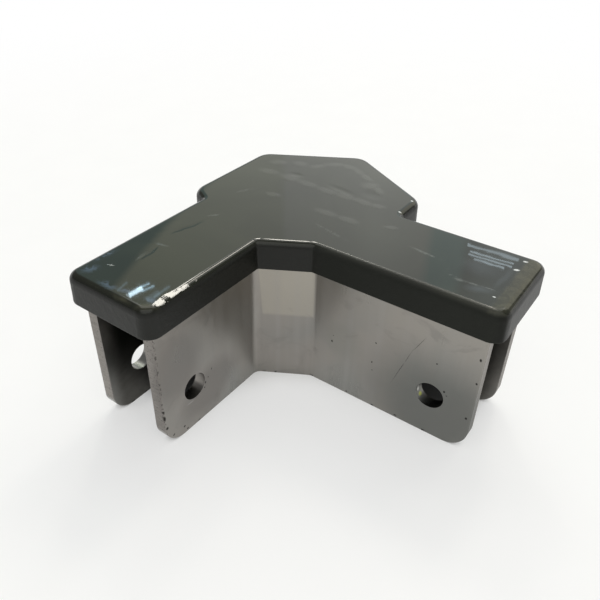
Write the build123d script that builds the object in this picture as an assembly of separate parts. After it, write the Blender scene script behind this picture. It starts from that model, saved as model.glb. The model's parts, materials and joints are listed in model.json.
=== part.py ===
from build123d import *
import os

# Top corner connector for a folding canopy frame with six-sided tube legs.
#
# A cut length of aluminium extrusion carries the load and a moulded cap closes
# its top. The leg slides up into the hub from below. A truss bar swings on a
# bolt between the two plates of each arm, and the arms are at a right angle.
#
# Z is up and is the hub's axis. The lower edges of the hub and the plates are
# at Z = 0. One arm points along +X, and the other is the same arm turned to -Y.
# The middle of each arm lies to one side of the hub's centre plane.
# All sizes are in millimetres.

# Leg and hub
leg_across_flats = 50.0
leg_clearance = 0.25            # on each side of the leg
hub_wall = 3.8
socket_corner_radius = 1.5
extrusion_length = 49.0         # the height that the extrusion is cut to

# Arms
arm_offset = 9.5                # from the hub's centre plane to the middle of an arm
bar_gap = 18.3                  # between the two plates of an arm
plate_thickness = 3.8
arm_reach = 73.0                # from the hub's axis to the plate ends
bend_radius = 3.0               # where an arm's outer sides meet the hub
root_radius = 1.0               # where the bar gap meets the hub
edge_radius = 0.4               # on the extrusion's outward corners
plate_corner_radius = 7.2       # on the lower corner of each plate end
bolt_hole_diameter = 8.6
bolt_from_end = 13.0            # from the plate ends to the bolt's axis
bolt_height = 14.6              # from the plates' lower edges to the bolt's axis

# Cap
cap_top = 2.7                   # thickness over the extrusion
cap_wall = 2.7                  # thickness of the skirt
skirt_depth = 6.4               # how far the skirt reaches down over the metal
skirt_draft = 1.7               # degrees that the skirt leans outwards
side_clearance = 0.1            # at the top, between the skirt and the extrusion's sides
end_clearance = 0.6             # at the top, between the skirt and the plate ends
cap_end_radius = 4.0            # corners at the arm ends, seen from above
cap_hub_radius = 6.5            # corners at the hub, seen from above
cap_hollow_radius = 1.0         # inward corners, seen from above
cap_edge_radius = 2.4           # round the edge of the top
skirt_edge_radius = 0.4         # round the lower edge of the skirt

# Ribs under the cap, which sit inside the socket and the bar gaps
rib_clearance = 0.2
rib_thickness = 1.6
rib_depth = 5.5
rib_lead_in = 0.4               # on the outer side of the ribs' lower edges
rib_setback = 4.0               # from the plate ends to the ribs in the bar gaps

socket_across_flats = leg_across_flats + 2 * leg_clearance
hub_across_flats = socket_across_flats + 2 * hub_wall
arm_width = bar_gap + 2 * plate_thickness
skirt_bottom = extrusion_length - skirt_depth
overrun = 5.0                   # how far a cut runs out past the metal


def hexagon(across_flats):
    """A six-sided plan with two of its flats facing along X."""
    return RegularPolygon(across_flats / 2, 6, major_radius=False, rotation=30)


def strip(length, width):
    """A plan rectangle along the middle of the +X arm, starting at the hub's axis."""
    return Pos(length / 2, -arm_offset) * Rectangle(length, width)


def both_arms(shape):
    """A shape made for the arm along +X, and its copy on the arm along -Y."""
    return shape + Rot(0, 0, -90) * shape


def hollows_rounded(plan, radius):
    """A plan with its inward corners rounded."""
    return offset(offset(plan, radius, kind=Kind.INTERSECTION), -radius)


def outline(side, end, hollow_radius, end_radius, hub_radius):
    """The plan of hub and solid arms, moved out from the metal by side and end."""
    hub = hexagon(hub_across_flats + 2 * side)
    arm = strip(arm_reach + end, arm_width + 2 * side)
    plan = fillet(hub.vertices(), hub_radius) + both_arms(fillet(arm.vertices(), end_radius))
    return hollows_rounded(plan, hollow_radius)


def socket_plan():
    """The opening that takes the leg."""
    opening = hexagon(socket_across_flats)
    return fillet(opening.vertices(), socket_corner_radius)


def gap_plan(reach):
    """The openings between the plates, from the hub out to the given reach."""
    gaps = both_arms(strip(reach, bar_gap)) - hexagon(hub_across_flats)
    gaps = hollows_rounded(gaps, edge_radius)
    return offset(offset(gaps, -root_radius, kind=Kind.INTERSECTION), root_radius)


def arm_cuts():
    """The bolt hole and the lower corner cut through both plates of the +X arm."""
    hole = Pos(arm_reach - bolt_from_end, bolt_height) * Circle(bolt_hole_diameter / 2)
    side = plate_corner_radius + overrun
    square = Rectangle(side, side, align=(Align.MIN, Align.MAX))
    corner = Pos(arm_reach - plate_corner_radius, plate_corner_radius) * (
        square - Circle(plate_corner_radius)
    )
    return extrude(Plane.XZ * (hole + corner), arm_width, both=True)


def corner_extrusion():
    """The hub with its leg socket, and the two pairs of plates."""
    section = outline(0, 0, bend_radius, edge_radius, edge_radius)
    section = section - gap_plan(arm_reach + overrun) - socket_plan()
    return extrude(section, extrusion_length) - both_arms(arm_cuts())


def locating_rib(opening):
    """A closed rib that follows the inside of an opening, just under the cap."""
    outer = offset(opening, -rib_clearance, kind=Kind.INTERSECTION)
    inner = offset(outer, -rib_thickness, kind=Kind.INTERSECTION)
    rib = Pos(0, 0, extrusion_length - rib_depth) * extrude(outer - inner, rib_depth)
    lead_in_edges = [
        edge for face in rib.faces().group_by(Axis.Z)[0] for edge in face.outer_wire().edges()
    ]
    return chamfer(lead_in_edges, rib_lead_in)


def skirted(plan, top):
    """A solid from the given height down to the skirt's lower edge, leaning outwards."""
    return Pos(0, 0, top) * extrude(plan, top - skirt_bottom, dir=(0, 0, -1), taper=-skirt_draft)


def top_cap():
    """The moulded cap: a shell over hub and arms, with its locating ribs."""
    shell_plan = outline(
        side_clearance + cap_wall,
        end_clearance + cap_wall,
        cap_hollow_radius,
        cap_end_radius,
        cap_hub_radius,
    )
    shell = skirted(shell_plan, extrusion_length + cap_top)
    shell = fillet(shell.edges().group_by(Axis.Z)[-1], cap_edge_radius)
    shell = fillet(shell.edges().group_by(Axis.Z)[0], skirt_edge_radius)
    inside_plan = outline(
        side_clearance,
        end_clearance,
        bend_radius - side_clearance,
        edge_radius + side_clearance,
        edge_radius + side_clearance,
    )
    inside = skirted(inside_plan, extrusion_length)
    ribs = locating_rib(socket_plan()) + locating_rib(gap_plan(arm_reach - rib_setback))
    return shell - inside + ribs


os.makedirs("parts", exist_ok=True)
export_step(corner_extrusion(), "parts/corner_extrusion.step")
export_step(top_cap(), "parts/top_cap.step")
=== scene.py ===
import json
import math
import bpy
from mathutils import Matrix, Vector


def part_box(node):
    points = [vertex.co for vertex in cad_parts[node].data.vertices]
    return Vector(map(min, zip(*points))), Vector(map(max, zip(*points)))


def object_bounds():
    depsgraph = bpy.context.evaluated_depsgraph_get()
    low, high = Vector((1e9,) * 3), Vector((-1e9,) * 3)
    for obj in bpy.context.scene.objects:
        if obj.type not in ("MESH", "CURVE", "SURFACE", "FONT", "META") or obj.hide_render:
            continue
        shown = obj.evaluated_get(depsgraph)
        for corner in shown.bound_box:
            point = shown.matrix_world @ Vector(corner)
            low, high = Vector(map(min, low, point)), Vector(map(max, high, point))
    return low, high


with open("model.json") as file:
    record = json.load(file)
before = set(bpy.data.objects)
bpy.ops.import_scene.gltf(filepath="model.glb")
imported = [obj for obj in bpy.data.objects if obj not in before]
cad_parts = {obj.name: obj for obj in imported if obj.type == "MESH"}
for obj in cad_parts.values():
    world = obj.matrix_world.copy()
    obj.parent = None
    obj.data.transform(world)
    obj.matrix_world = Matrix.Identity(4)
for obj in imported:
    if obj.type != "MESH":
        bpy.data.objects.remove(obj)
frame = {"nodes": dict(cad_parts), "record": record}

from types import SimpleNamespace

import bpy
from mathutils import Matrix, Quaternion, Vector

# Looks for the top corner connector: a moulded cap on a cut aluminium extrusion.
# Everything is in metres in the row's frame: Z up on the hub's axis, arms along +X and -Y.

MM = 0.001
CAD_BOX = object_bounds()
CENTRE = (CAD_BOX[0] + CAD_BOX[1]) / 2
METAL_LOW, METAL_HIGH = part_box("corner_extrusion")
CAP_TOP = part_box("top_cap")[1].z
BOLTS = {m["name"]: Vector(m["pos_m"]) for m in frame["record"]["mounts"]}
GAP_HALF = 9.15 * MM            # half of the bar gap in each arm
PLATE = 3.8 * MM                # thickness of each plate
HUB_REACH = -METAL_LOW.x        # from the hub's axis to each of its six sides
PLATE_FACE_X = BOLTS["y_arm_bolt"].x + GAP_HALF + PLATE     # outer face of the -Y arm's front plate
PLATE_FACE_Y = BOLTS["x_arm_bolt"].y - GAP_HALF - PLATE     # outer face of the X arm's front plate
PANEL_ENDS = (-13.3 * MM, 6.0 * MM)         # the hub side between the arms, along its own width
PANEL_SHEEN = 24.3 * MM         # that side carries a lighter painted reflection above this height
GAP_ROOT = (26 * MM, 31 * MM)   # reach along an arm where its gap's painted shade starts, and is full
GAP_MOUTH = (74 * MM, 68 * MM)  # and where it is down to MOUTH_SHARE, and still full
MOUTH_SHARE = 0.35
GAP_HEIGHTS = (8 * MM, 27 * MM)             # the deepest painted shade in the gaps grows between these
GAP_INNER = 66 * MM             # and is full at this reach
X_GAP_FLOOR = (72 * MM, 62 * MM)            # the floor inside the X arm's gap has a painted shadow up to here
Y_GAP_FLOOR = (-64 * MM, -52 * MM)          # and the one inside the -Y arm's gap
RIGHT_ARM = (18 * MM, 26 * MM)  # the front of the X arm begins between these
RIGHT_SKIRT = (-24 * MM, -25.5 * MM)        # its skirt, painted lighter than the other skirts as a reflection
RUBBED_EDGE = (-22.6 * MM, -23.6 * MM)      # and its rolled edge, duller than the top
DIP_START = 70.4 * MM           # the cap's top dips from here to the end of the X arm
SKIRT_START = 0.12 * MM         # how far below the top the cap's edge begins to turn dull and darker, with painted shade
SKIRT_FULL = 1.4 * MM           # and where it is as dull and dark as the skirt
DING_SLOPE = 10                 # degrees from level, of the flattened stretch of the front edge

# Camera
AZIMUTH = 36.58                 # degrees round from looking along +Y
ELEVATION = 35.92
ROLL = 0.18
DISTANCE = 198.0 * MM
AIM = Vector((-12.6, -6.4, 3.2)) * MM       # from the middle of the part
LENS = 38.55
SHIFT = 0.033

# Lights: name, azimuth and elevation as seen from the part, distance, width, height,
# radiance, tint and turn in their own plane. The panes, blinds and lamps are glints on the cap.
NEUTRAL, WARM, CREAM = (0.99, 1.0, 0.94), (1.0, 0.93, 0.82), (1.0, 0.96, 0.86)
PALE_BLUE, COOL, SKY = (0.64, 0.86, 1.0), (0.74, 0.9, 1.0), (0.52, 0.8, 1.0)
LIGHTS = [
    ("front_box", 36, 60, 1.5, 2.0, 1.5, 1.05, NEUTRAL, 0),
    ("ceiling_box", 205, 60, 1.4, 1.5, 0.9, 1.65, NEUTRAL, 0),
    ("pane_bright", 234.1, 35.1, 1.81, 0.045, 0.013, 18.0, PALE_BLUE, 20),
    ("pane_frame", 235.0, 35.4, 1.81, 0.017, 0.002, 14.0, COOL, -42),
    ("pane_upper", 233.2, 34.7, 1.81, 0.042, 0.005, 8.0, SKY, 16),
    ("pane_lower", 232.7, 35.0, 1.80, 0.039, 0.005, 7.0, SKY, 16),
    ("pane_faint", 231.2, 35.5, 1.80, 0.058, 0.006, 2.2, SKY, 27),
    ("pane_side", 235.5, 34.4, 1.81, 0.04, 0.004, 2.0, SKY, 32),
    ("pane_haze", 232.3, 35.8, 1.80, 0.045, 0.018, 1.0, SKY, 23),
    ("blind_a", 193.8, 30.4, 1.82, 0.15, 0.007, 2.6, COOL, -6),
    ("blind_b", 193.8, 30.9, 1.82, 0.13, 0.0045, 3.6, COOL, -6),
    ("blind_c", 193.9, 31.2, 1.82, 0.13, 0.0045, 3.6, COOL, -7),
    ("blind_d", 193.9, 31.5, 1.82, 0.09, 0.005, 3.2, COOL, -7),
    ("long_lamp", 190, 53, 1.9, 0.22, 0.47, 13.0, WARM, 0),
    ("short_lamp", 217.8, 49, 2.0, 0.15, 0.31, 21.0, CREAM, 0),
]

# The surroundings: an even dim level, and behind the part a soft wall of light that the
# glossy cap mirrors towards the camera: azimuth, radiance and colour along it
WORLD_LEVEL, WORLD_TINT = 0.28, (0.97, 0.98, 1.0, 1.0)
YELLOW, MINT, GREENISH, TEAL = (1.0, 0.98, 0.8), (0.93, 1.0, 0.98), (0.98, 1.0, 0.93), (0.82, 1.0, 0.95)
WALL = [
    (152, 0.0, YELLOW), (158, 1.41, YELLOW), (184, 1.41, YELLOW),
    (187, 1.18, MINT), (195, 1.15, MINT), (197.5, 0.92, (0.95, 1.0, 0.97)),
    (198.5, 1.2, TEAL), (201, 1.17, TEAL), (202, 1.32, GREENISH),
    (207, 1.47, GREENISH), (212, 1.27, GREENISH), (216, 1.18, GREENISH),
    (216.5, 1.06, (0.97, 1.0, 0.88)), (223, 0.97, (0.95, 1.0, 0.84)), (231, 0.9, (0.92, 1.0, 0.78)),
    (244, 0.68, (0.92, 1.0, 0.9)), (250, 0.0, (0.92, 1.0, 0.9)),
]
WALL_FOOT, WALL_LOW, WALL_HIGH, WALL_HEAD = 14, 18, 43, 46      # elevations, faded at both ends
WALL_FADE = 4                   # degrees of azimuth over which its sides fade
SHADE = (0.24, 0.4, 0.38)       # the darker, bluer stretch at the wall's left end
SHADE_EDGE = (229.3, 230.8)     # azimuths between which the wall turns into it
SHADE_LEVEL = 30.5              # elevation at which that is so
SHADE_SLANT = 1.3               # degrees that this edge moves for each degree of elevation

# The floor
FLOOR_FLAT, SWEEP = 4.2, 1.2    # radius of the flat floor and of its upturned rim
FLOOR_DROP = 0.02 * MM          # gap below the part
FLOOR_PAINT = (0.9, 0.9, 0.9, 1), (0.92, 0.92, 0.92, 1)
BACKDROP_SHARE = 0.55           # how much of the near floor is plain white to camera and reflections
NEAR_FLOOR, FAR_FLOOR = 0.15, 0.5           # where that share starts to grow, and where it is 1
CONTACT = 20 * MM               # reach of the painted contact shadow where the part meets the floor

# Marks on the cap's top face: x, y, half length, half width in mm, and turn in degrees
# The sink ridges are bumps that also carry a painted sheen.
SINK_RIDGES = [
    (-19.7, 6.1, 5.5, 2.6, 7), (-11.0, 6.2, 6.0, 2.6, 2), (-3.5, 6.0, 6.5, 2.4, -2), (4.5, 5.6, 6.5, 2.2, 0),
    (11.6, 5.7, 6.0, 2.3, 1), (17.5, 5.9, 6.0, 2.2, -4), (23.0, 6.2, 4.0, 2.0, 15),
    (-14.5, 17.5, 4.0, 2.6, 10), (-8.4, 19.5, 4.4, 2.2, 50), (-4.5, 24.0, 6.0, 2.2, 35),
    (0.6, 25.6, 4.5, 2.2, 0), (5.2, 24.0, 4.5, 1.9, -30), (9.4, 21.8, 5.0, 1.9, -24),
    (13.9, 17.2, 4.6, 3.2, 30), (17.8, 15.8, 4.4, 2.0, -40), (12.5, -7.0, 6.0, 2.4, 3),
    (19.8, -7.0, 5.5, 2.2, -2), (-8.2, -7.0, 3.4, 2.0, 5), (-21.8, 13.8, 4.2, 2.6, 28),
    (32.7, -3.3, 3.2, 1.4, 20),
]
SINK_DENTS = [(17.5, 12.0, 5.0, 3.6, -10), (7.5, 9.0, 7.0, 2.0, -8), (-10.5, 9.7, 4.0, 2.0, 5)]
SMEARS = [
    (-14.9, -50.5, 4.3, 0.8, 6), (-14.4, -58.1, 3.6, 0.6, 97), (-13.8, -28.4, 3.4, 0.8, 49),
    (57.8, -15.9, 1.6, 0.5, 8), (60.0, -16.5, 3.6, 0.8, 6), (64.6, -16.2, 3.4, 0.6, 5),
    (68.0, -16.0, 2.6, 0.4, 0), (47.0, -10.0, 7.0, 0.8, -5), (20.0, -16.0, 8.0, 0.9, -12),
    (-17.0, -10.0, 6.0, 1.0, 60),
]
DARK_SMEARS = [(-15.2, -37.7, 8.7, 1.0, 75), (-13.9, -55.4, 4.5, 0.9, 98)]
# The mottled patches at the -Y arm's end are painted bluish reflections.
MOTTLED = [
    (-20.5, -70.8, 3.4, 2.6, 50), (-11.0, -72.8, 5.0, 2.0, 5), (-5.5, -72.2, 3.0, 1.4, 0),
    (2.4, -71.3, 3.2, 2.0, 15), (-22.5, -64.0, 6.0, 1.6, 85),
]
# Pale bluish painted reflections on the X arm's end.
BLUISH_REFLECTIONS = [(69.3, -8.0, 10.0, 1.4, 88), (66.0, -17.5, 5.0, 2.5, 20), (62.0, -8.0, 8.0, 5.0, 0)]
DINGED = [(4.7, -68.5, 4.6, 1.15, 92), (5.1, -62.5, 6.0, 0.6, 90)]
WORN_CORNER = [(3.6, -73.4, 4.6, 1.7, 40), (-4.0, -75.0, 5.0, 0.9, 0)]
# Glints are painted highlights.
GLINTS = [
    (70.9, 2.2, 0.9, 0.5, 15), (70.4, -3.2, 1.1, 0.6, 25), (70.3, -18.6, 0.6, 0.35, 0),
    (29.7, 15.9, 0.6, 0.5, 0), (30.1, 7.1, 0.7, 0.5, 0), (35.6, -26.6, 0.4, 0.3, 0),
    (33.3, -26.1, 0.4, 0.3, 0), (-17.6, -66.2, 1.4, 0.1, 26), (-17.6, -66.2, 0.8, 0.08, 110),
]

# Marks on the outer faces of the front plates: distance along the arm and height, half size
# along and up, in mm, and turn in degrees from upright
X_PLATE_SPECKS = [
    (26.5, 18.3, 0.35, 0.55, 0), (41.4, 24.9, 0.3, 0.3, 0), (40.8, 17.2, 0.25, 0.5, 0),
    (41.1, 14.2, 0.25, 0.25, 0), (60.5, 26.9, 0.3, 0.35, 0), (64.0, 18.3, 0.4, 0.5, 0),
    (64.9, 17.2, 0.3, 0.25, 0), (71.8, 34.1, 0.45, 0.7, 0), (72.2, 25.9, 0.4, 0.5, 0),
    (71.6, 12.4, 0.45, 0.6, 0), (50.5, 0.8, 0.7, 0.3, 0), (33.0, 0.7, 0.5, 0.25, 0),
]
X_PLATE_SCRATCHES = [(50.4, 20.6, 0.15, 11.0, 19), (54.6, 31.0, 0.12, 5.0, 27)]
Y_PLATE_SPECKS = [
    (72.8, 11.5, 0.5, 1.4, 0), (72.4, 7.4, 0.7, 0.8, 20), (72.9, 14.0, 0.4, 0.6, 0),
    (65.7, 2.7, 0.5, 0.5, 0), (64.6, 1.0, 0.6, 0.4, 0), (70.2, 3.0, 0.5, 0.35, 40),
    (55.6, 12.9, 0.35, 0.6, -30), (54.3, 14.2, 0.25, 0.3, 0), (52.8, 16.2, 0.2, 0.5, -20),
    (56.2, 11.2, 0.3, 0.3, 0),
]
Y_PLATE_SCUFFS = [(57.0, 15.5, 0.6, 1.4, -10), (62.4, 9.7, 2.2, 0.35, 0)]
X_PLATE_DARK_REFLECTIONS = [(63.0, 10.0, 31.0, 26.0, 0)]       # broad, darker painted reflections
# more broad, darker painted reflections, on the -Y arm's plate
Y_PLATE_DARK_REFLECTIONS = [(67.0, 26.0, 14.0, 17.0, 0), (54.0, 10.0, 17.0, 11.0, 20)]
X_PLATE_SHADE = [(30.0, 20.0, 9.0, 9.0, 0)]        # a greener painted shade near the bend
Y_PLATE_GLEAM = [(39.0, 24.0, 12.0, 14.0, 0)]      # a lighter painted reflection on the other plate

# On the wall of the X arm's front hole, a white painted glint and an olive-yellow spot: centre and half
# sizes in mm, and colour
BORE_GLINT_AND_SPOT = [
    ((55.9, -20.9, 14.4), (0.7, 1.0, 1.5), (0.8, 0.8, 0.76, 1)),
    ((56.6, -20.6, 12.0), (0.7, 1.0, 1.0), (0.34, 0.36, 0.1, 1)),
]


def grey(level, warmth=0.0):
    """A near grey colour, a little redder and less blue for positive warmth."""
    return (level * (1 + warmth), level, level * (1 - warmth), 1.0)


# Colours of the metal, some of them painted light and shade
# The third colour on the next line is a painted sheen: the metal painted lighter between 22 and 40 mm up.
MILL_WARM, MILL_COOL, UPPER_SHEEN_TINT = (0.305, 0.287, 0.262, 1), (0.25, 0.251, 0.236, 1), (0.35, 0.325, 0.29, 1)
# Painted light on the hub side between the arms: a little painted shade over it, a lighter painted
# reflection on its upper part, a painted highlight along its left bend.
PANEL_SHADE_TINT, PANEL_SHEEN_TINT, PANEL_BEND_HIGHLIGHT = (0.2, 0.183, 0.174, 1), (0.385, 0.36, 0.31, 1), (0.33, 0.31, 0.29, 1)
SAWN_DARK, SAWN_LIGHT = (0.245, 0.226, 0.21, 1), (0.295, 0.276, 0.255, 1)
# Painted shade inside the arms' gaps, and deeper painted shade in their upper, inner part.
GAP_SHADE_TINT, GAP_DEEP_SHADE_TINT = (0.064, 0.061, 0.053, 1), (0.008, 0.0085, 0.006, 1)
# Darker painted reflections, in broad patches on the two front plates.
X_REFLECTION_TINT, Y_REFLECTION_TINT = (0.14, 0.147, 0.138, 1), (0.157, 0.147, 0.138, 1)
# A lighter painted reflection and a greener painted shade on the front plates.
GLEAM_TINT, SHADE_TINT = (0.4, 0.39, 0.365, 1), (0.18, 0.2, 0.18, 1)
STREAK_TINT, HANDLED_TINT = grey(0.36, 0.04), grey(0.17, 0.05)
WORN_METAL, SPECK_TINT, METAL_SCUFF = grey(0.42, 0.04), grey(0.012, 0.1), grey(0.5, 0.02)

# Colours of the cap, some of them painted light and shade
CAP_DARK, CAP_LIGHT = (0.0095, 0.0105, 0.0065, 1), (0.0185, 0.0205, 0.013, 1)
# The first colour on the next line is painted shade on the cap's sides; the second, lighter, is a painted
# reflection on the X arm's front skirt.
SKIRT_SHADE_TINT, RIGHT_SKIRT_SHEEN_TINT = (0.0022, 0.0027, 0.0008, 1), (0.013, 0.0145, 0.011, 1)
# The first colour on the next line is a painted sheen for the sink ridges.
RIDGE_SHEEN_TINT, SMEAR_TINT = (0.1, 0.102, 0.094, 1), (0.12, 0.126, 0.12, 1)
# Both colours on the next line are bluish painted reflections.
MOTTLE_REFLECTION_TINT, BLUISH_REFLECTION_TINT = (0.08, 0.11, 0.155, 1), (0.085, 0.1, 0.115, 1)
# The first colour on the next line is a beige painted reflection.
DIP_REFLECTION_TINT, CORNER_TINT = (0.07, 0.068, 0.045, 1), (0.065, 0.063, 0.042, 1)
SCUFF_TINT, GLINT_TINT, CAP_EDGE = (0.14, 0.145, 0.13, 1), (0.7, 0.72, 0.72, 1), (0.05, 0.05, 0.038, 1)


# Node helpers

class Graph:
    """The node tree of a material or world, with one short call for each kind of node."""

    def __init__(self, owner, place="Object"):
        owner.use_nodes = True
        self.owner = owner
        self.tree = owner.node_tree
        self.tree.nodes.clear()
        self.place = self.add("ShaderNodeTexCoord").outputs[place]

    def add(self, kind, inputs=None, **settings):
        """A node with its settings, and its inputs set or linked by name or number."""
        node = self.tree.nodes.new(kind)
        for key, value in settings.items():
            setattr(node, key, value)
        for key, value in (inputs or {}).items():
            if isinstance(value, bpy.types.NodeSocket):
                self.tree.links.new(value, node.inputs[key])
            else:
                node.inputs[key].default_value = value
        return node

    def maths(self, operation, a, b=0.0):
        return self.add("ShaderNodeMath", {0: a, 1: b}, operation=operation).outputs[0]

    def both(self, a, b):
        """Two masks or shares multiplied together."""
        return self.maths("MULTIPLY", a, b)

    def total(self, values):
        """The sum of several values."""
        result = values[0]
        for value in values[1:]:
            result = self.maths("ADD", result, value)
        return result

    def any_of(self, masks):
        """The highest of several masks."""
        result = masks[0]
        for mask in masks[1:]:
            result = self.maths("MAXIMUM", result, mask)
        return result

    def inverse(self, mask):
        """1 where a mask is 0, and 0 where it is 1."""
        return self.maths("SUBTRACT", 1.0, mask)

    def off(self, value, middle):
        """How far a value is from a middle, to either side."""
        return self.maths("ABSOLUTE", self.maths("SUBTRACT", value, middle))

    def vector(self, operation, a, b=(0, 0, 0), scale=1.0):
        """The outputs of a vector operation: a vector, and a number as "Value"."""
        inputs = {0: a, 1: b, 3: scale}
        return self.add("ShaderNodeVectorMath", inputs, operation=operation).outputs

    def degrees(self, operation, a, b=0.0):
        """An angle from an inverse trigonometric operation, in degrees."""
        return self.maths("DEGREES", self.maths(operation, a, b))

    def noise(self, scale, detail=3.0, rough=0.5, warp=0.0, shift=(0, 0, 0), turn=(0, 0, 0)):
        """Noise with a scale for each axis, in features per metre."""
        place = self.add("ShaderNodeMapping", {"Vector": self.place, "Scale": scale, "Location": shift,
                                               "Rotation": turn}).outputs[0]
        inputs = {"Vector": place, "Scale": 1.0, "Detail": detail, "Roughness": rough, "Distortion": warp}
        return self.add("ShaderNodeTexNoise", inputs).outputs["Fac"]

    def band(self, value, low, high, to_low=0.0, to_high=1.0, smooth=True):
        """Maps low to to_low and high to to_high, held level outside."""
        inputs = {"Value": value, "From Min": low, "From Max": high, "To Min": to_low, "To Max": to_high}
        kind = "SMOOTHSTEP" if smooth else "LINEAR"
        return self.add("ShaderNodeMapRange", inputs, interpolation_type=kind, clamp=True).outputs[0]

    def mix(self, share, a, b):
        """Colour a where share is 0 and b where it is 1."""
        return self.add("ShaderNodeMix", {0: share, 6: a, 7: b}, data_type="RGBA").outputs[2]

    def paint(self, base, layers):
        """A base colour under layers, each a mask, its share where the mask is 1, and a colour."""
        for mask, share, tint in layers:
            base = self.mix(self.both(mask, share), base, tint)
        return base

    def bump(self, height, distance, strength=1.0, normal=None):
        inputs = {"Height": height, "Distance": distance, "Strength": strength}
        if normal is not None:
            inputs["Normal"] = normal
        return self.add("ShaderNodeBump", inputs).outputs[0]

    def settle(self, normal, share, towards):
        """A normal that turns into a fixed direction where share is 1."""
        inputs = {0: share, 4: normal, 5: towards}
        mixed = self.add("ShaderNodeMix", inputs, data_type="VECTOR").outputs[1]
        return self.vector("NORMALIZE", mixed)[0]

    def lean(self, normal, share, towards):
        """A normal that leans towards a direction where share is 1."""
        push = self.vector("SCALE", towards, scale=share)[0]
        return self.vector("NORMALIZE", self.vector("ADD", normal, push)[0])[0]

    def edges(self, radius, low, high):
        """A mask that is 1 along sharp edges."""
        soft = self.add("ShaderNodeBevel", {"Radius": radius}, samples=6).outputs[0]
        true = self.add("ShaderNodeNewGeometry").outputs["True Normal"]
        return self.band(self.vector("DOT_PRODUCT", soft, true)["Value"], high, low)

    def warped(self, amount):
        """Object coordinates shaken by a noise, for ragged outlines; larger shakes are slower."""
        inputs = {"Vector": self.place, "Scale": 0.35 / amount, "Detail": 2.0}
        ripple = self.add("ShaderNodeTexNoise", inputs).outputs["Color"]
        shake = self.vector("SCALE", self.vector("SUBTRACT", ripple, (0.5, 0.5, 0.5))[0], scale=amount)[0]
        return self.vector("ADD", self.place, shake)[0]

    def mark(self, where, centre, size, turn, inner):
        """A mask over an ellipsoid: 1 out to the share inner of its size, 0 at its edge."""
        inputs = {"Vector": where, "Location": centre, "Rotation": turn, "Scale": size}
        local = self.add("ShaderNodeMapping", inputs, vector_type="TEXTURE").outputs[0]
        return self.band(self.vector("LENGTH", local)["Value"], 1.0, inner)

    def top_marks(self, table, ragged=0.5, inner=0.0):
        """One mask for a table of marks on the cap's top face."""
        where = self.warped(ragged * MM)
        deep = (2 + ragged) * MM
        return self.any_of([
            self.mark(where, (x * MM, y * MM, CAP_TOP), (half * MM, wide * MM, deep),
                      (0, 0, math.radians(turn)), inner)
            for x, y, half, wide, turn in table])

    def plate_marks(self, table, arm, ragged=0.3, inner=0.4):
        """One mask for a table of marks on the outer face of an arm's front plate."""
        where = self.warped(ragged * MM)
        deep = (0.5 + ragged) * MM
        masks = []
        for along, up, half, tall, turn in table:
            if arm == "x":
                centre = (along * MM, PLATE_FACE_Y, up * MM)
                size, tilt = (half * MM, deep, tall * MM), (0, math.radians(turn), 0)
            else:
                centre = (PLATE_FACE_X, -along * MM, up * MM)
                size, tilt = (deep, half * MM, tall * MM), (math.radians(turn), 0, 0)
            masks.append(self.mark(where, centre, size, tilt, inner))
        return self.any_of(masks)

    def axis(self, name):
        """One of the object coordinates."""
        return self.add("ShaderNodeSeparateXYZ", {0: self.place}).outputs[name]

    def along(self, way):
        """The distance from the hub's axis along a unit vector."""
        return self.vector("DOT_PRODUCT", self.place, way)["Value"]

    def finish(self, colour, rough, normal, **shader):
        """A Principled shader from the given colour, roughness and normal."""
        inputs = {"Base Color": colour, "Roughness": rough, "Normal": normal}
        inputs.update({key.replace("_", " "): value for key, value in shader.items()})
        surface = self.add("ShaderNodeBsdfPrincipled", inputs)
        self.add("ShaderNodeOutputMaterial", {"Surface": surface.outputs[0]})
        return self.owner


# The metal

def inside_gaps(g):
    """A mask that is 1 between the plates of both arms, and lower at their open ends; it places painted
    shade on the gaps' walls and a painted shadow on the floor between them.
    """
    masks = []
    for along, across, way, middle in (("X", "Y", 1.0, BOLTS["x_arm_bolt"].y),
                                       ("Y", "X", -1.0, BOLTS["y_arm_bolt"].x)):
        near = g.band(g.off(g.axis(across), middle), GAP_HALF + 0.3 * MM, GAP_HALF + 0.1 * MM)
        reach = g.both(g.axis(along), way)
        length = g.both(g.band(reach, *GAP_ROOT), g.band(reach, *GAP_MOUTH, MOUTH_SHARE))
        masks.append(g.both(near, length))
    return g.any_of(masks)


def gap_depths(g, gaps):
    """A mask for the upper, inner part of both gaps, where the deepest shade is painted."""
    inner = g.both(g.band(g.axis("X"), METAL_HIGH.x, GAP_INNER),
                   g.band(g.axis("Y"), METAL_LOW.y + 1 * MM, -GAP_INNER))
    return g.both(g.both(gaps, g.band(g.axis("Z"), *GAP_HEIGHTS)), inner)


def y_end(g):
    """A mask that is 1 on the sawn end of the -Y arm."""
    return g.band(g.axis("Y"), METAL_LOW.y + 0.2 * MM, METAL_LOW.y + 0.05 * MM)


def cut_faces(g):
    """A mask that is 1 on the sawn ends of the arms and the sawn lower edge."""
    x_end = g.band(g.axis("X"), METAL_HIGH.x - 0.2 * MM, METAL_HIGH.x - 0.05 * MM)
    below = g.band(g.axis("Z"), 0.2 * MM, 0.05 * MM)
    return g.any_of([x_end, y_end(g), below])


def end_edges(g):
    """A mask that is 1 along the outer edges of the -Y arm's sawn end, where the saw left burrs."""
    outer = GAP_HALF + PLATE
    side = g.band(g.off(g.axis("X"), BOLTS["y_arm_bolt"].x), outer - 0.5 * MM, outer - 0.25 * MM)
    return g.both(side, g.band(g.axis("Y"), METAL_LOW.y + 0.55 * MM, METAL_LOW.y + 0.3 * MM))


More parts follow.
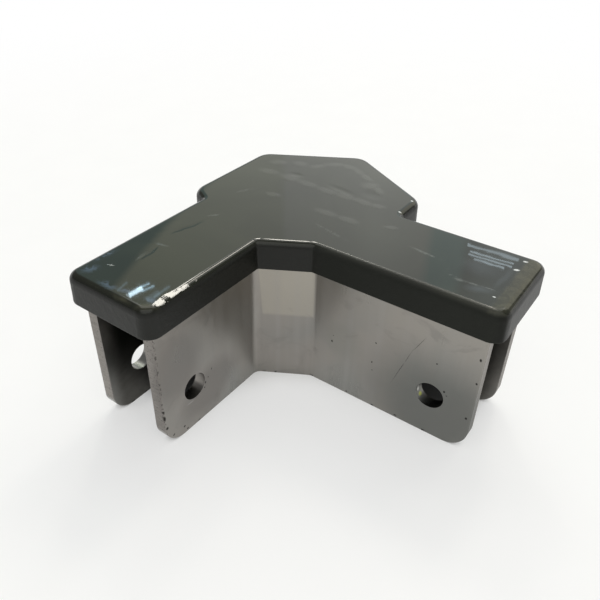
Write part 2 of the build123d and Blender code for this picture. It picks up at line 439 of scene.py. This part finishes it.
def mid_panel(g):
    """Masks on the hub side between the arms for its painted light: the side, painted a little darker as
    shade, its upper part with a painted reflection, its left edge with a painted highlight.
    """
    left, right = PANEL_ENDS
    out = g.along((0.5, -math.sqrt(0.75), 0.0))
    across = g.along((math.sqrt(0.75), 0.5, 0.0))
    width = g.both(g.band(across, left, left + 0.5 * MM), g.band(across, right, right - 0.8 * MM))
    side = g.both(g.band(g.off(out, HUB_REACH), 0.6 * MM, 0.3 * MM), width)
    upper = g.band(g.axis("Z"), PANEL_SHEEN - 0.7 * MM, PANEL_SHEEN + 0.7 * MM)
    slant = g.maths("ADD", across, g.both(g.axis("Z"), 0.06))
    bright = g.both(g.both(side, upper), g.band(slant, left + 4.1 * MM, left + 4.7 * MM))
    edge = g.both(side, g.band(across, left + 1.1 * MM, left + 0.8 * MM))
    return side, bright, edge


def stray_specks(g):
    """A few fine dark specks anywhere on the metal."""
    cells = g.add("ShaderNodeTexVoronoi", {"Vector": g.warped(0.4 * MM), "Scale": 260.0}).outputs
    chosen = g.add("ShaderNodeSeparateColor", {0: cells["Color"]}).outputs[0]
    return g.both(g.band(cells["Distance"], 0.09, 0.06), g.band(chosen, 0.965, 0.97))


def metal_specks(g):
    """A mask for the dark marks: specks, a broken scratch, bites in the lower edge, burrs and pits."""
    scratch = g.both(g.plate_marks(X_PLATE_SCRATCHES, "x", 0.25, 0.2),
                     g.band(g.noise((150, 150, 300), detail=1), 0.3, 0.42))
    bites = g.both(g.band(g.axis("Z"), 0.9 * MM, 0.2 * MM),
                   g.band(g.noise((420, 420, 300), detail=2), 0.58, 0.66))
    grains = g.noise((1700, 1700, 1300), detail=2)
    burrs = g.both(end_edges(g), g.band(grains, 0.52, 0.6, 0.0, 0.6))
    pits = g.both(y_end(g), g.band(grains, 0.6, 0.66, 0.0, 0.55))
    return g.any_of([g.plate_marks(X_PLATE_SPECKS, "x"), g.plate_marks(Y_PLATE_SPECKS, "y", 0.7),
                     g.both(scratch, 0.6), stray_specks(g), bites, burrs, pits])


def metal_colour(g, n, sawn, gaps, specks):
    """Warm and cool mill finish under painted light and shade (a lighter upper band, painted reflections and
    highlights on the plates and on the side between the arms, painted shade in the gaps) and under sawn,
    worn and dirty parts.
    """
    panel, sheen, bend = mid_panel(g)
    sawn_tint = g.mix(g.band(n.saw_lines, 0.35, 0.65), SAWN_DARK, SAWN_LIGHT)
    bore_glint_and_spot = [(g.mark(g.place, [c * MM for c in centre], [half * MM for half in size], (0, 0, 0), 0.4),
               1.0, tint) for centre, size, tint in BORE_GLINT_AND_SPOT]
    mill = g.mix(g.band(n.clouds, 0.32, 0.68), MILL_COOL, MILL_WARM)
    return g.paint(mill, [
        # Painted sheen: the upper part of the metal painted lighter.
        (g.band(g.axis("Z"), 22 * MM, 40 * MM), 0.5, UPPER_SHEEN_TINT),
        (panel, 0.1, PANEL_SHADE_TINT),
        (sheen, 0.75, PANEL_SHEEN_TINT),
        (bend, 0.5, PANEL_BEND_HIGHLIGHT),
        (g.band(n.streaks, 0.4, 0.72), 0.25, STREAK_TINT),
        (g.band(n.handling, 0.56, 0.72), 0.3, HANDLED_TINT),
        (sawn, 1.0, sawn_tint),
        # Painted shade inside the gaps, deepest in their upper, inner part.
        (gaps, g.band(n.handling, 0.35, 0.65, 0.8, 0.92), GAP_SHADE_TINT),
        (gap_depths(g, gaps), 0.9, GAP_DEEP_SHADE_TINT),
        (g.edges(0.5 * MM, 0.93, 0.995), 0.4, WORN_METAL),
        # Broad darker painted reflections on both front plates.
        (g.plate_marks(X_PLATE_DARK_REFLECTIONS, "x", 5.0, 0.3), g.band(n.clouds, 0.3, 0.6, 0.6, 0.8), X_REFLECTION_TINT),
        (g.plate_marks(Y_PLATE_DARK_REFLECTIONS, "y", 4.0, 0.4), 0.55, Y_REFLECTION_TINT),
        (g.plate_marks(Y_PLATE_GLEAM, "y", 2.0, 0.2), 0.55, GLEAM_TINT),
        (g.plate_marks(X_PLATE_SHADE, "x", 2.0, 0.4), 0.22, SHADE_TINT),
        (specks, 0.92, SPECK_TINT),
        *bore_glint_and_spot,
        (g.plate_marks(Y_PLATE_SCUFFS, "y", 0.8, 0.0), 0.5, METAL_SCUFF),
    ])


def aluminium():
    """Mill-finish extrusion: die lines up the faces, clouded sheen, nicks and specks."""
    g = Graph(bpy.data.materials.new("aluminium"))
    n = SimpleNamespace(
        die_lines=g.noise((1500, 1500, 6), detail=2, rough=0.6),
        streaks=g.noise((220, 220, 5), detail=3, rough=0.55, shift=(0.3, 0.1, 0.0)),
        clouds=g.noise((34, 34, 26), detail=3, rough=0.5, warp=0.6),
        handling=g.noise((55, 55, 75), detail=4, rough=0.6, warp=1.5, shift=(0.7, 0.2, 0.4)),
        saw_lines=g.noise((260, 260, 1900), detail=2, rough=0.6),
    )
    sawn, gaps, specks = cut_faces(g), inside_gaps(g), metal_specks(g)
    colour = metal_colour(g, n, sawn, gaps, specks)
    rough = g.total([g.band(n.clouds, 0.3, 0.7, 0.27, 0.36), g.band(n.streaks, 0.3, 0.7, -0.04, 0.05),
                     g.both(g.any_of([sawn, specks, gaps]), 0.16)])
    normal = g.bump(g.band(n.saw_lines, 0.3, 0.7), 0.02 * MM, 0.3)
    normal = g.bump(n.die_lines, 0.02 * MM, 0.5, normal)
    normal = g.bump(n.clouds, 0.4 * MM, 0.25, normal)
    normal = g.bump(specks, -0.1 * MM, 0.6, normal)
    return g.finish(colour, rough, normal, Metallic=1.0)


# The cap

def cap_masks(g, n):
    """All the masks on the cap: where its sides begin, and its marks."""
    side = g.band(g.axis("Z"), CAP_TOP - SKIRT_START, CAP_TOP - SKIRT_FULL)
    right_arm = g.band(g.axis("X"), *RIGHT_ARM)
    return SimpleNamespace(
        side=side,
        right_skirt=g.both(side, g.both(right_arm, g.band(g.axis("Y"), *RIGHT_SKIRT))),
        rubbed=g.both(g.band(g.axis("Y"), *RUBBED_EDGE), right_arm),
        dip=g.band(g.axis("X"), DIP_START, DIP_START + 1.2 * MM),
        ridges=g.top_marks(SINK_RIDGES, 1.2, 0.25),
        dents=g.top_marks(SINK_DENTS, 0.5),
        smears=g.both(g.top_marks(SMEARS, 1.2), g.band(n.wiped, 0.35, 0.6)),
        dark=g.top_marks(DARK_SMEARS, 1.6),
        mottled=g.both(g.top_marks(MOTTLED, 2.0), g.band(n.mottle, 0.4, 0.58)),
        bluish_reflection=g.both(g.top_marks(BLUISH_REFLECTIONS, 3.0), g.band(n.clouds, 0.3, 0.6, 0.5, 1.0)),
        dinged=g.both(g.top_marks(DINGED, 1.3, 0.8), g.band(n.mottle, 0.43, 0.46)),
        corner=g.both(g.top_marks(WORN_CORNER, 1.2), g.band(n.mottle, 0.35, 0.65, 0.3, 0.7)),
        glints=g.top_marks(GLINTS, 0.25, 0.3),
        scuffed=g.both(g.band(n.wiped, 0.58, 0.75), g.band(n.hairs, 0.5, 0.7)),
    )


def cap_colour(g, n, m):
    """Clouded olive black with painted shade on the sides, under sink marks with a painted sheen, painted
    bluish and beige reflections, a lighter painted skirt, painted glints, smears and wear.
    """
    # A beige painted reflection on the dip at the X arm's end, kept off the sides.
    beige = g.both(m.dip, g.band(n.mottle, 0.35, 0.65, 0.15, 0.6))
    clouded = g.mix(g.band(n.clouds, 0.3, 0.7), CAP_DARK, CAP_LIGHT)
    return g.paint(clouded, [
        # Painted shade: the cap's sides painted darker than its top.
        (m.side, 0.9, SKIRT_SHADE_TINT),
        # A painted reflection: the X arm's front skirt painted lighter.
        (m.right_skirt, g.band(n.clouds, 0.3, 0.7, 0.7, 1.0), RIGHT_SKIRT_SHEEN_TINT),
        # Painted sheen on the sink ridges.
        (m.ridges, 0.3, RIDGE_SHEEN_TINT),
        (m.smears, 0.75, SMEAR_TINT),
        # Bluish painted reflections, mottled, at the -Y arm's end.
        (m.mottled, 0.8, MOTTLE_REFLECTION_TINT),
        # Pale bluish painted reflections on the X arm's end.
        (m.bluish_reflection, 0.42, BLUISH_REFLECTION_TINT),
        (beige, g.inverse(m.side), DIP_REFLECTION_TINT),
        (m.corner, 1.0, CORNER_TINT),
        (m.scuffed, 0.12, SCUFF_TINT),
        # Painted highlights: the glints.
        (m.glints, 1.0, GLINT_TINT),
        (g.edges(0.6 * MM, 0.93, 0.99), 0.3, CAP_EDGE),
    ])


def cap_normal(g, n, m):
    """The flattened stretch of edge, the dip at the X arm's end, and fine relief."""
    slope = math.radians(DING_SLOPE)
    normal = g.add("ShaderNodeNewGeometry").outputs["Normal"]
    normal = g.settle(normal, m.dinged, (math.sin(slope), 0.0, math.cos(slope)))
    normal = g.lean(normal, m.dip, (0.1, 0.0, 0.0))
    normal = g.bump(n.grain, 0.001 * MM, 0.3, normal)
    normal = g.bump(n.clouds, 0.06 * MM, 0.3, normal)
    normal = g.bump(m.ridges, 0.04 * MM, 0.5, normal)
    normal = g.bump(n.mottle, 0.12 * MM, m.side, normal)
    normal = g.bump(m.dents, -0.1 * MM, 0.6, normal)
    return g.bump(m.dark, -0.05 * MM, 0.5, normal)


def cap_plastic():
    """Glossy dark olive-grey moulding with faint sink marks, smears and scuffs."""
    g = Graph(bpy.data.materials.new("cap_plastic"))
    n = SimpleNamespace(
        clouds=g.noise((30, 30, 30), detail=3, rough=0.55, warp=0.8),
        grain=g.noise((900, 900, 900), detail=2),
        wiped=g.noise((300, 60, 300), detail=4, rough=0.65, warp=0.4, turn=(0, 0, 0.5)),
        hairs=g.noise((2400, 90, 2400), detail=2, rough=0.5, turn=(0, 0, 0.9)),
        mottle=g.noise((420, 420, 420), detail=4, rough=0.7, warp=0.5),
    )
    m = cap_masks(g, n)
    rough = g.total([g.band(n.clouds, 0.3, 0.7, 0.015, 0.035), g.both(m.side, 0.42),
                     g.both(g.any_of([m.smears, m.glints]), 0.22),
                     g.both(g.any_of([m.dark, m.scuffed]), 0.15), g.both(m.rubbed, 0.35)])
    return g.finish(cap_colour(g, n, m), rough, cap_normal(g, n, m), Specular_IOR_Level=0.35)


def put_on(node, material):
    """Gives a CAD node one material on all its faces."""
    for slot in frame["nodes"][node].material_slots:
        slot.material = material


# The stage: floor, lights, world and camera

def floor_mesh():
    """A flat disc whose rim sweeps up to a vertical edge, facing up and smooth."""
    rings = [(FLOOR_FLAT * share, 0.0) for share in (0.1, 0.4, 1.0)]
    for slope in range(10, 91, 10):
        a = math.radians(slope)
        rings.append((FLOOR_FLAT + SWEEP * math.sin(a), SWEEP * (1 - math.cos(a))))
    around = [math.radians(turn) for turn in range(0, 360, 5)]
    count = len(around)
    points = [(0.0, 0.0, 0.0)] + [(r * math.cos(a), r * math.sin(a), z) for r, z in rings for a in around]
    faces = [(0, 1 + i, 1 + (i + 1) % count) for i in range(count)]
    for inner in range(1, 1 + count * (len(rings) - 1), count):
        for i in range(count):
            j = (i + 1) % count
            faces.append((inner + i, inner + count + i, inner + count + j, inner + j))
    mesh = bpy.data.meshes.new("floor")
    mesh.from_pydata(points, [], faces)
    for face in mesh.polygons:
        face.use_smooth = True
    return mesh


def floor_paint():
    """Matt pale paint with a painted shadow inside the arms' gaps and a painted contact shadow near the
    part, partly plain white to the camera, clear from below.
    """
    g = Graph(bpy.data.materials.new("floor_paint"))
    inside = g.both(g.band(g.axis("X"), *X_GAP_FLOOR), g.band(g.axis("Y"), *Y_GAP_FLOOR))
    # A painted shadow: the floor is painted dark inside the arms' gaps.
    gap_shadow = g.both(inside_gaps(g), inside)
    colour = g.mix(g.band(g.noise((40, 40, 40), detail=4), 0.3, 0.7), *FLOOR_PAINT)
    paint = g.add("ShaderNodeBsdfDiffuse", {"Color": g.mix(gap_shadow, colour, grey(0.12))})
    white = g.add("ShaderNodeEmission", {"Color": (1, 1, 1, 1), "Strength": 1.0})

    path = g.add("ShaderNodeLightPath").outputs
    seen = g.any_of([path[ray] for ray in ("Is Camera Ray", "Is Glossy Ray", "Is Transmission Ray")])
    # Where ambient occlusion finds the part close by, the floor's white share falls: a painted contact
    # shadow.
    open_air = g.add("ShaderNodeAmbientOcclusion", {"Distance": CONTACT}, samples=8).outputs["AO"]
    away = g.vector("LENGTH", g.place)["Value"]
    share = g.both(g.band(open_air, 0.15, 0.6), g.band(away, NEAR_FLOOR, FAR_FLOOR, BACKDROP_SHARE, 1.0))
    share = g.both(g.both(seen, share), g.inverse(gap_shadow))

    above = g.add("ShaderNodeMixShader", {0: share, 1: paint.outputs[0], 2: white.outputs[0]})
    clear = g.add("ShaderNodeBsdfTransparent")
    below = g.add("ShaderNodeNewGeometry").outputs["Backfacing"]
    surface = g.add("ShaderNodeMixShader", {0: below, 1: above.outputs[0], 2: clear.outputs[0]})
    g.add("ShaderNodeOutputMaterial", {"Surface": surface.outputs[0]})
    return g.owner


def make_floor():
    """The floor, just below the part."""
    mesh = floor_mesh()
    mesh.materials.append(floor_paint())
    floor = bpy.data.objects.new("floor", mesh)
    floor.location.z = CAD_BOX[0].z - FLOOR_DROP
    bpy.context.scene.collection.objects.link(floor)


def direction(azimuth, elevation):
    """A unit vector; azimuth 0 is towards -Y and 90 towards +X."""
    a, e = math.radians(azimuth), math.radians(elevation)
    return Vector((math.sin(a) * math.cos(e), -math.cos(a) * math.cos(e), math.sin(e)))


def softbox(name, azimuth, elevation, distance, width, height, radiance, tint, turn):
    """An area light aimed at the part, as bright as the given radiance."""
    data = bpy.data.lights.new(name, "AREA")
    data.shape = "RECTANGLE"
    data.size, data.size_y = width, height
    data.energy = radiance * width * height * math.pi
    data.color = tint
    light = bpy.data.objects.new(name, data)
    bpy.context.scene.collection.objects.link(light)
    light.location = CENTRE + direction(azimuth, elevation) * distance
    aim = direction(azimuth, elevation).to_track_quat("Z", "Y")
    light.rotation_euler = (aim @ Quaternion((0, 0, 1), math.radians(turn))).to_euler()


def wall_colour(g, azimuth, elevation):
    """The wall's colours along the azimuth, as a share of its brightest, and its shade at the left."""
    low, high = WALL[0][0], WALL[-1][0]
    brightest = max(radiance for _, radiance, _ in WALL)
    ramp = g.add("ShaderNodeValToRGB", {0: g.band(azimuth, low, high, smooth=False)})
    stops = ramp.color_ramp.elements
    while len(stops) < len(WALL):
        stops.new(1.0)
    for stop, (at, radiance, tint) in zip(stops, WALL):
        stop.position = (at - low) / (high - low)
        stop.color = [c * radiance / brightest for c in tint] + [1.0]
    lift = g.both(g.maths("SUBTRACT", elevation, SHADE_LEVEL), SHADE_SLANT)
    shaded = g.band(g.maths("SUBTRACT", azimuth, lift), *SHADE_EDGE)
    colour = g.mix(shaded, ramp.outputs[0], [c / brightest for c in SHADE] + [1.0])
    height = g.both(g.band(elevation, WALL_FOOT, WALL_LOW), g.band(elevation, WALL_HEAD, WALL_HIGH))
    width = g.both(g.band(azimuth, low, low + WALL_FADE), g.band(azimuth, high, high - WALL_FADE))
    return colour, g.both(g.both(height, width), brightest)


def make_world():
    """Even, rather dim surroundings with a soft wall of light behind the part."""
    g = Graph(bpy.data.worlds.new("studio"), "Generated")
    bpy.context.scene.world = g.owner
    part = g.add("ShaderNodeSeparateXYZ", {0: g.place}).outputs
    azimuth = g.maths("ADD", g.degrees("ARCTAN2", g.both(part["X"], -1.0), part["Y"]), 180.0)
    colour, strength = wall_colour(g, azimuth, g.degrees("ARCSINE", part["Z"]))
    wall = g.add("ShaderNodeBackground", {"Color": colour, "Strength": strength})
    even = g.add("ShaderNodeBackground", {"Color": WORLD_TINT, "Strength": WORLD_LEVEL})
    surface = g.add("ShaderNodeAddShader", {0: wall.outputs[0], 1: even.outputs[0]})
    g.add("ShaderNodeOutputWorld", {"Surface": surface.outputs[0]})


def make_camera():
    """The camera at the photo's angle."""
    data = bpy.data.cameras.new("camera")
    data.lens = LENS
    data.sensor_width = 36.0
    data.shift_x = SHIFT
    data.clip_start, data.clip_end = 0.01, 50.0
    camera = bpy.data.objects.new("camera", data)
    bpy.context.scene.collection.objects.link(camera)
    back = direction(AZIMUTH, ELEVATION)
    turn = back.to_track_quat("Z", "Y").to_matrix().to_4x4()
    roll = Matrix.Rotation(math.radians(ROLL), 4, "Z")
    camera.matrix_world = Matrix.Translation(CENTRE + AIM + back * DISTANCE) @ turn @ roll
    bpy.context.scene.camera = camera


make_floor()
make_world()
make_camera()
for light in LIGHTS:
    softbox(*light)
put_on("corner_extrusion", aluminium())
put_on("top_cap", cap_plastic())
bpy.context.scene.view_settings.view_transform = "Standard"
